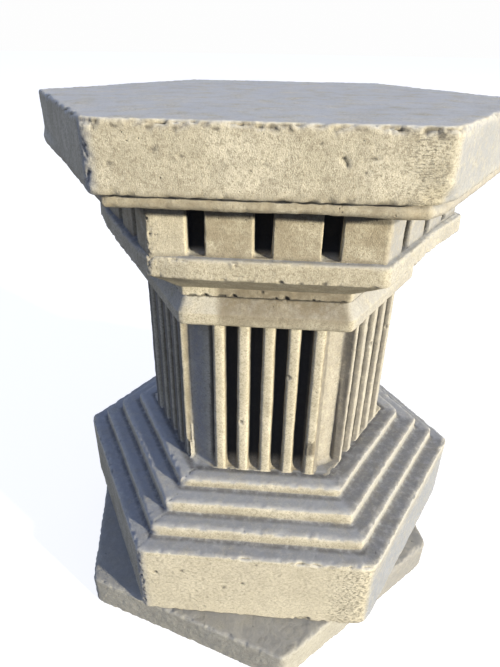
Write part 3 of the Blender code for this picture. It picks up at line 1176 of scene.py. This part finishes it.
@dataclass
class NeckingBand(Casting):
    """The necking band, swelling downwards, and the thin ragged fillet above it."""

    name: str = "necking_band"
    foot: float = 0.3981
    belly: float = 0.4126
    neck_top: float = 0.4294
    top: float = 0.4399
    belly_width: float = 0.304
    top_width: float = 0.2815
    fillet_width: float = 0.2909
    corner: float = 0.009
    fillet_corner: float = 0.003
    rim: float = 0.005
    belly_lap: float = 0.0001
    hidden: tuple[Covered, ...] = ((0.3981, 0.279), (0.4414, 0.30))
    weathering: Weathering = Weathering(15, 0.0011, 80000, wear=0.3, rounds=3, seam=0.3)

    def model(self) -> Piece:
        """Return the clean band and fillet."""
        lower = Tier(self.foot, self.belly, self.belly_width, self.corner,
                     lower_rim=self.rim).build(self.name)
        upper = Tier(self.belly - self.belly_lap, self.neck_top + OVERLAP, self.belly_width,
                     self.corner,
                     top_width=self.top_width).build("swell")
        fillet = Tier(self.neck_top, self.top + OVERLAP, self.fillet_width,
                      self.fillet_corner).build("fillet")
        return join([lower, upper, fillet], self.name)

    def marks(self) -> Marks:
        """Return the gaps broken out of the fillet's lower edge."""
        at = partial(Side.FRONT.point, self.fillet_width)
        gaps = ((-0.0605, 0.0032), (-0.0315, 0.0024), (0.0102, 0.0018), (0.0201, 0.0034),
                (0.047, 0.0018))
        marks: Marks = [Spot(at(along, 0.4296), radius, 0.0028) for along, radius in gaps]
        marks.append(Spot(at(-0.0038, 0.4366), 0.0018, 0.0012))
        return marks + edge_chips(26, self.fillet_width, self.neck_top, 9, 0.0026)

    def patina(self, points: Array, normals: Array) -> Masks:
        """Return the ragged painted shadow under the fillet and the darker front of the neck."""
        line = step_up(np.abs(points[:, 2] - self.neck_top + 0.0006), 0.0026, 0.0006)
        line = line * (normals[:, 2] < 0.3) * step_up(apothem(points), 0.1462, 0.1440)
        # The neck's front is darker and browner right of its left end, most towards the top.
        stain = on_side(points, Side.FRONT) * step_up(points[:, 0], -0.052, -0.043)
        stain = stain * (0.55 + 0.45 * step_up(points[:, 2], self.foot, self.neck_top))
        # The sunny side's grey and brown are patina and painted shade.
        right = on_side(points, Side.FRONT_RIGHT)
        return {"shade": 0.7 * line, "brown": np.maximum(1.0 * stain, 0.3 * right),
                "grime": 0.42 * stain, "grey": 0.5 * right}


@dataclass
class FlutedShaft(Casting):
    """The shaft: five ribs and four flutes to a face, and a flat facet at each corner."""

    name: str = "fluted_shaft"
    foot: float = 0.1967
    top: float = 0.3981
    width: float = 0.2842
    setback: float = 0.0161
    facet: float = 0.0272
    ribs: int = 5
    rib_width: float = 0.0118
    rib_round: float = 0.0038
    depth: float = 0.014
    draft: float = math.radians(8)
    cove: float = 0.016
    top_land: float = 0.002
    notch_depth: float = 0.0114
    notch_floor: float = 0.0015
    corner: float = 0.002
    facet_cove: float = 0.006
    left_sunk: float = 0.002
    left_aside: float = 0.001
    right_sunk: float = 0.0085
    right_aside: float = 0.0035
    hidden: tuple[Covered, ...] = ((0.1952, 0.30), (0.3996, 0.30))
    weathering: Weathering = Weathering(
        16, 0.0013, 197000, wear=0.2, rounds=3, seam=0.0, ragged=0.0009, hole_share=0.12)

    def model(self) -> Piece:
        """Return the clean shaft with its flutes and notches cut."""
        shaft = Tier(self.foot - OVERLAP, self.top + OVERLAP, self.width,
                     self.corner).build(self.name)
        corner_distance = self.width / 2 / math.cos(HALF_SIDE_ANGLE)
        facet_distance = corner_distance - self.setback
        facet_end = (facet_distance * math.sin(HALF_SIDE_ANGLE)
                     - self.facet / 2 * math.cos(HALF_SIDE_ANGLE))
        notch_middle = facet_end - self.notch_floor / 2
        notch_mouth = self.notch_floor + 2 * self.notch_depth * math.tan(self.draft)
        outer_rib = notch_middle - notch_mouth / 2 - self.rib_width / 2
        pitch = 2 * outer_rib / (self.ribs - 1)
        facet_cutters = []
        for sunk, aside, turns in ((0.0, 0.0, (90.0, 150.0, 210.0, 270.0)),
                                   (self.left_sunk, self.left_aside, (-30.0,)),
                                   (self.right_sunk, self.right_aside, (30.0,))):
            depth = self.setback + sunk
            recess = Recess(self.facet + 2 * depth * math.tan(HALF_SIDE_ANGLE), depth,
                            HALF_SIDE_ANGLE, self.facet_cove, 0.0, self.foot,
                            self.top + 2 * OVERLAP)
            facet_cutters.append((recess.build("facet", 2 * corner_distance), aside, turns))
        cut_all_round(shaft, facet_cutters)
        flute = Recess(pitch - self.rib_width, self.depth, self.draft, self.cove, self.rib_round,
                       self.foot, self.top - self.top_land).build("flute", self.width)
        notch = Recess(notch_mouth, self.notch_depth, self.draft, self.cove, self.rib_round,
                       self.foot, self.top - self.top_land).build("notch", self.width)
        cutters = [(flute, (rib + 0.5) * pitch - outer_rib, FACE_TURNS)
                   for rib in range(self.ribs - 1)]
        cut_all_round(shaft, cutters + [(notch, -notch_middle, FACE_TURNS),
                                        (notch, notch_middle, FACE_TURNS)])
        return shaft

    def marks(self) -> Marks:
        """Return the nibs and chips on the ribs and the pits in the right facet."""
        at = partial(Side.FRONT.point, self.width)
        right = partial(Side.FRONT_RIGHT.point, self.width)
        turn = Matrix.Rotation(math.radians(BLUNT_CORNER), 3, "Z")
        sunk_facet = lambda along, height: turn @ Vector((0.1395, along, height))
        return [
            Spot(at(-0.0335, 0.2764), 0.0022, -0.0016), Spot(at(-0.0295, 0.2702), 0.003, 0.0016),
            Spot(at(-0.0068, 0.2804), 0.0022, -0.0016), Spot(at(0.041, 0.2475), 0.003, -0.0020),
            Spot(at(0.0555, 0.2351), 0.0055, 0.0014, Vector((0, 0, 0.006))),
            Spot(at(-0.0152, 0.3832), 0.002, -0.0018),
            Spot(at(0.0225, 0.3346), 0.0034, 0.0018),
            Spot(sunk_facet(-0.0024, 0.2631), 0.0013, 0.0016),
            Spot(sunk_facet(-0.0021, 0.2524), 0.0012, 0.0015),
            Spot(right(-0.0585, 0.362), 0.0032, 0.0016, Vector((0, 0, 0.006))),
            Spot(right(-0.0026, 0.3417), 0.0036, 0.0022),
            Spot(right(0.0469, 0.3428), 0.0036, 0.0024)]

    def warp(self, points: Array) -> Array:
        """Return the points with the seen ribs a little to the right and the left corner full."""
        points = slide(points, Side.FRONT, 0.0044, (-0.0640, -0.0595), (0.0605, 0.0740))
        points = slide(points, Side.FRONT_RIGHT, 0.0028, (-0.0660, -0.0595), (0.0605, 0.0740))
        return outwards(points, 0.0034 * near_corner(points, LEFT_CORNER, 34))

    def patina(self, points: Array, normals: Array) -> Masks:
        """Return painted shade: black flutes and notches, brown flanks and the facets' grey."""
        depth = self.width / 2 - apothem(points)
        azimuth = np.degrees(np.arctan2(points[:, 1], points[:, 0]))
        swing = np.abs((azimuth + 30) % 60 - 30)
        from_sunk = np.abs(azimuth + 58.5)
        beside = np.where(from_sunk < 12, step_up(from_sunk, 9, 11), step_up(swing, 5.5, 6.5))
        walls = np.where(from_sunk < 12, step_up(from_sunk, 5.2, 6.0), step_up(swing, 5.3, 6.0))
        foot = step_up(points[:, 2], self.foot + 0.003, self.foot + 0.020)
        # Flanks, notch walls and the front-left ribs and facet: painted shade in brown, grey and
        # dirt.
        flank = step_up(depth, 0.0008, 0.0042) * walls
        right, left = on_side(points, Side.FRONT_RIGHT), on_side(points, Side.FRONT_LEFT)
        left = left * step_up(normals @ np.array(Side.FRONT_LEFT.along), 0.6, 0.3)
        turned = right * walls * step_up(-normals @ np.array(Side.FRONT_RIGHT.along), 0.15, 0.65)
        band = step_up(azimuth, -59.9, -61.2) * step_up(azimuth, -68.0, -67.0)
        band = band * step_up(depth, 0.0006, 0.002)
        # The sunk facet in the key light is dimmed with brown and grey: patina and painted shade.
        sunny = step_up(from_sunk, 7.5, 6.0)
        slate = near_corner(points, -121, 9) * (1 - beside)
        return {"shade": np.maximum(0.93 * step_up(depth, 0.0045, 0.0095) * foot * beside,
                                    0.38 * left * walls),
                "brown": np.maximum.reduce([0.75 * flank, 0.95 * turned, 0.9 * band, 0.3 * right,
                                            0.45 * sunny]),
                "grime": np.maximum.reduce([0.4 * flank, 0.48 * turned, 0.6 * left * walls,
                                            0.22 * slate, 0.5 * band]),
                "upturned": np.full(len(points), 0.4),
                "grey": np.maximum.reduce([0.4 * right * walls, 0.7 * slate, 0.4 * left,
                                           0.3 * sunny])}


@dataclass
class SteppedBase(Casting):
    """The base block and the three steps on it."""

    name: str = "stepped_base"
    foot: float = 0.0453
    block_height: float = 0.1041
    block_width: float = 0.461
    block_corner: float = 0.011
    block_rim: float = 0.004
    step_widths: tuple[float, ...] = (0.4176, 0.3746, 0.3266)
    step_heights: tuple[float, ...] = (0.0171, 0.0171, 0.0131)
    step_corner: float = 0.005
    step_rim: float = 0.0048
    shaft_width: float = 0.2842
    hidden: tuple[Covered, ...] = ((0.0453, 0.40), (0.1967, 0.278))
    weathering: Weathering = Weathering(17, 0.0019, 193000, chips=1.2, ragged=0.0013)

    def model(self) -> Piece:
        """Return the clean block and steps."""
        level = self.foot + self.block_height
        pieces = [Tier(self.foot, level, self.block_width, self.block_corner,
                       lower_rim=self.block_rim, upper_rim=self.block_rim).build(self.name)]
        for width, height in zip(self.step_widths, self.step_heights):
            pieces.append(Tier(level - OVERLAP, level + height, width, self.step_corner,
                               upper_rim=self.step_rim).build("step"))
            level += height
        return join(pieces, self.name)

    def marks(self) -> Marks:
        """Return the mitre cracks, the pour lines and the pits of the block."""
        at = partial(Side.FRONT.point, self.block_width)
        marks: Marks = [
            flat_crack(0.1967, (-0.0944, -0.1691), (-0.0872, -0.1590), (-0.0830, -0.1500),
                       (-0.0747, -0.1440)),
            flat_crack(0.1836, (-0.107, -0.190), (-0.0973, -0.1757), width=0.0008, depth=0.0012),
            flat_crack(0.1665, (-0.1195, -0.2064), (-0.1081, -0.1914)),
            flat_crack(0.1494, (-0.1315, -0.2256), (-0.1225, -0.2057)),
            Crack((at(-0.1208, 0.1133), at(-0.1, 0.1095), at(-0.0761, 0.1072)),
                  0.0010, 0.0008, 0.001, 0.85),
            Crack((at(-0.1191, 0.099), at(-0.0813, 0.0966)), 0.0009, 0.0007, 0.001, 0.9),
            Crack((at(-0.0422, 0.1063), at(-0.01, 0.1045), at(0.0295, 0.1057)),
                  0.0010, 0.0008, 0.001, 0.85),
            Crack((at(-0.0295, 0.0924), at(0.0114, 0.093)), 0.0009, 0.0007, 0.001, 0.9),
            Crack((at(-0.069, 0.0777), at(-0.045, 0.073), at(-0.0357, 0.065)),
                  0.0009, 0.0007, 0.001, 0.9),
            Spot(at(-0.114, 0.114), 0.0028, 0.0016), Spot(at(-0.083, 0.1195), 0.0022, 0.0010),
            Spot(at(0.018, 0.151), 0.0022, 0.0020), Spot(at(-0.013, 0.1058), 0.0018, 0.0012),
            Spot(at(-0.0345, 0.0955), 0.0022, 0.0010), Spot(at(0.002, 0.1405), 0.0016, 0.0010),
            Spot(at(0.0588, 0.0485), 0.0038, 0.0028, Vector((0.006, 0, 0)))]
        level = self.foot + self.block_height
        marks += edge_chips(29, self.block_width, level - 0.001, 44, 0.0015, (Side.FRONT,),
                            (0.30, 0.76), 0.0026)
        marks += corner_chips(39, 0.2644, self.foot, level, 30, 0.0019)
        marks += edge_chips(27, self.block_width, level, 26, 0.0034)
        marks += edge_chips(28, self.block_width, self.foot, 6, 0.0036)
        for step, (width, height) in enumerate(zip(self.step_widths, self.step_heights)):
            level += height
            marks += edge_chips(30 + step, width, level, 5, 0.0026)
        return marks

    def warp(self, points: Array) -> Array:
        """Return the points with the front-right corner of the block blunter."""
        low = step_up(points[:, 2], 0.156, 0.150)
        return outwards(points, -0.0022 * low * near_corner(points, BLUNT_CORNER, 3.6))

    def patina(self, points: Array, normals: Array) -> Masks:
        """Return dirt and painted shade at riser feet, grey treads and the front's lined right end.
        """
        level, reach = self.foot + self.block_height, apothem(points)
        grime, tread = np.zeros(len(points)), np.zeros(len(points))
        for width, height in zip((*self.step_widths, self.shaft_width), (*self.step_heights, 0.0)):
            above = points[:, 2] - level
            riser = step_up(np.abs(reach - width / 2), 0.006, 0.003) * step_up(above, 0.013, 0.0)
            riser = riser * (above > -0.002)
            corner = step_up(np.abs(reach - width / 2 - 0.001), 0.0075, 0.001)
            corner = corner * (np.abs(above) < 0.0022)
            grime = np.maximum(grime, np.maximum(0.32 * riser, 0.9 * corner))
            tread = np.maximum(tread, (np.abs(above) < 0.003) * (normals[:, 2] > 0.6))
            level += height
        right = on_side(points, Side.FRONT_RIGHT)
        block = points[:, 2] < self.foot + self.block_height - 0.006
        lined = on_side(points, Side.FRONT) * step_up(points[:, 0], 0.078, 0.098) * block
        side = right * block * step_up(points[:, 2], self.foot + self.block_height - 0.006,
                                       self.foot + 0.07)
        # The sunny side's grey is patina and painted shade; treads and the mould seam are greyer.
        grey = np.maximum(np.maximum(0.6 * right + 0.4 * side, 0.7 * tread),
                          0.75 * seam_share(points) * (normals[:, 2] < 0.6))
        lower = step_up(points[:, 2], 0.20, 0.15)
        # The right and lower treads are darker: dirt and painted shade.
        grime = np.maximum(grime, tread * np.maximum(0.66 * right, 0.26 * lower))
        return {"grime": grime, "grey": grey, "lined": np.maximum(lined, 0.35 * block),
                "wear": on_side(points, Side.FRONT) * block}


@dataclass
class LoosePlinth(Casting):
    """The loose slab under the base block, turned and shifted against it."""

    name: str = "loose_plinth"
    node: str = "plinth_slab"
    slot: str = "plinth_stone"
    width: float = 0.4515
    height: float = 0.045
    corner: float = 0.012
    rim: float = 0.004
    turn: float = math.radians(42.2)
    shift: Point = (-0.016, -0.023, 0.0)
    hidden: tuple[Covered, ...] = ((0.0, 0.60), (0.045, 0.452))
    weathering: Weathering = Weathering(
        18, 0.0017, 62000, wear=0.7, seam=0.0, ragged=0.0020, lumps=0.0005, grain=0.00035,
        hole_share=0.3)

    def model(self) -> Piece:
        """Return the clean slab in its place."""
        slab = Tier(0.0, self.height, self.width, self.corner, lower_rim=self.rim,
                    upper_rim=self.rim).build(self.name)
        slab.data.transform(Matrix.Translation(self.shift) @ Matrix.Rotation(self.turn, 4, "Z"))
        return slab

    def marks(self) -> Marks:
        """Return the cracks across the slab's upper face."""
        return [flat_crack(self.height, (-0.0591, -0.2311), (-0.0563, -0.2482), depth=0.0012,
                           wander=0.002),
                flat_crack(self.height, (0.2095, -0.0962), (0.2196, -0.1152), wander=0.002)]

    def patina(self, points: Array, normals: Array) -> Masks:
        """Return the grey patina, which thickens towards the right."""
        right = step_up(points[:, 0], 0.07, 0.20)
        return {"grey": 0.3 + 0.65 * right,
                "grime": np.maximum(0.25 * (normals[:, 2] > 0.7), 0.2 * right)}


@dataclass
class Studio:
    """A plain pale floor, soft lights and the camera."""

    camera_place: Point = (0.01886, -0.60829, 0.64878)
    camera_pitch: float = math.radians(29.205)
    camera_heading: float = math.radians(4.208)
    camera_roll: float = math.radians(0.945)
    lens: float = 27.888
    key_azimuth: float = math.radians(-34.5)
    key_elevation: float = math.radians(13.9)
    key_target: Point = (0.0, 0.0, 0.3)
    key_distance: float = 14.0
    key_size: float = 0.6
    key_power: float = 4550.0
    key_colour: Point = (1.0, 0.93, 0.80)
    sky: Colour = (0.42, 0.52, 0.85, 1.0)
    ground: Colour = (0.14, 0.14, 0.14, 1.0)
    backdrop: Colour = (0.985, 0.985, 0.985, 1.0)
    floor_colour: Colour = (0.32, 0.32, 0.32, 1.0)
    floor_glow: float = 0.84
    floor_radius: float = 45.0

    def build(self) -> None:
        """Build the floor, the lights, the camera and the dome of soft light."""
        self._floor()
        self._key()
        self._dome()
        self._camera()
        bpy.context.scene.view_settings.view_transform = "Standard"

    def _floor(self) -> None:
        """Lay a wide white floor that shows only faint shadows and bounces no light onto the
        pieces.
        """
        bpy.ops.object.select_all(action="DESELECT")
        bpy.ops.mesh.primitive_circle_add(vertices=128, radius=self.floor_radius, fill_type="NGON",
                                          location=(0, 0, 0))
        floor = bpy.context.object
        floor.name = "floor"
        bpy.ops.object.mode_set(mode="EDIT")
        bpy.ops.mesh.select_all(action="SELECT")
        bpy.ops.mesh.inset(thickness=self.floor_radius / 2)
        bpy.ops.object.mode_set(mode="OBJECT")
        material = bpy.data.materials.new("white_floor")
        material.use_nodes = True
        shader = material.node_tree.nodes["Principled BSDF"]
        for socket, value in (("Base Color", self.floor_colour), ("Roughness", 1.0),
                              ("Specular IOR Level", 0.0),
                              ("Emission Color", (1.0, 1.0, 1.0, 1.0)),
                              ("Emission Strength", self.floor_glow)):
            shader.inputs[socket].default_value = value
        floor.data.materials.append(material)
        floor.visible_diffuse = False

    def _key(self) -> None:
        """Hang the key light at the front right."""
        flat = math.cos(self.key_elevation)
        away = Vector((math.cos(self.key_azimuth) * flat, math.sin(self.key_azimuth) * flat,
                       math.sin(self.key_elevation)))
        data = bpy.data.lights.new("key", "AREA")
        data.shape, data.size = "DISK", self.key_size
        data.energy, data.color = self.key_power, self.key_colour
        key = bpy.data.objects.new("key", data)
        key.location = Vector(self.key_target) + away * self.key_distance
        key.rotation_mode = "QUATERNION"
        key.rotation_quaternion = away.to_track_quat("Z", "Y")
        bpy.context.scene.collection.objects.link(key)

    def _dome(self) -> None:
        """Give the world a soft cool light from above and a dim one from below."""
        world = bpy.data.worlds.new("dome")
        world.use_nodes = True
        bpy.context.scene.world = world
        tree = world.node_tree
        tree.nodes.clear()
        direction = put(tree, "ShaderNodeTexCoord").outputs["Generated"]
        height = put(tree, "ShaderNodeSeparateXYZ", {"Vector": direction}).outputs["Z"]
        colour = blend(tree, ramp(tree, height, -0.06, 0.10), self.ground, self.sky)
        seen = put(tree, "ShaderNodeLightPath").outputs["Is Camera Ray"]
        light = put(tree, "ShaderNodeBackground",
                    {"Color": blend(tree, seen, colour, self.backdrop), "Strength": 1.0})
        put(tree, "ShaderNodeOutputWorld", {"Surface": light.outputs["Background"]})

    def _camera(self) -> None:
        """Set the camera where the photograph was taken from."""
        data = bpy.data.cameras.new("camera")
        data.sensor_width, data.sensor_fit, data.lens = 36.0, "AUTO", self.lens
        data.clip_start, data.clip_end = 0.01, 60.0
        camera = bpy.data.objects.new("camera", data)
        turn = Matrix.Rotation(self.camera_heading, 4, "Z")
        turn = turn @ Matrix.Rotation(math.pi / 2 - self.camera_pitch, 4, "X")
        turn = turn @ Matrix.Rotation(self.camera_roll, 4, "Z")
        camera.matrix_world = Matrix.Translation(self.camera_place) @ turn
        bpy.context.scene.collection.objects.link(camera)
        bpy.context.scene.camera = camera


PEDESTAL_STONE = StoneFinish(
    "pedestal_cast_stone", pale=(0.61, 0.555, 0.40, 1), mid=(0.495, 0.445, 0.31, 1),
    deep=(0.26, 0.225, 0.15, 1),
    dust=(0.455, 0.46, 0.435, 1), grime=(0.055, 0.05, 0.042, 1), worn=(0.66, 0.60, 0.44, 1),
    brown=(0.26, 0.215, 0.135, 1), grey=(0.265, 0.28, 0.295, 1))
PLINTH_STONE = StoneFinish(
    "plinth_cast_stone", pale=(0.45, 0.425, 0.335, 1), mid=(0.40, 0.375, 0.29, 1),
    deep=(0.29, 0.27, 0.205, 1),
    dust=(0.33, 0.325, 0.29, 1), grime=(0.06, 0.055, 0.048, 1), worn=(0.50, 0.465, 0.36, 1),
    brown=(0.25, 0.215, 0.15, 1), grey=(0.26, 0.255, 0.235, 1))


def main() -> None:
    """Build the pedestal, its plinth slab and the studio."""
    logging.basicConfig(level=logging.INFO, format="%(relativeCreated)d ms %(name)s %(message)s")
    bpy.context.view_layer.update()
    bpy.ops.object.select_all(action="DESELECT")
    effects = StoneEffects()
    stone, plinth_stone = PEDESTAL_STONE.material(effects), PLINTH_STONE.material(effects)
    for assembly in (TopSlab(), Bead(), DentilBand(), Fascia(), NeckingBand(), FlutedShaft(),
                     SteppedBase()):
        assembly.build(stone)
    LoosePlinth().build(plinth_stone)
    Studio().build()


if __name__ == "__main__":
    main()
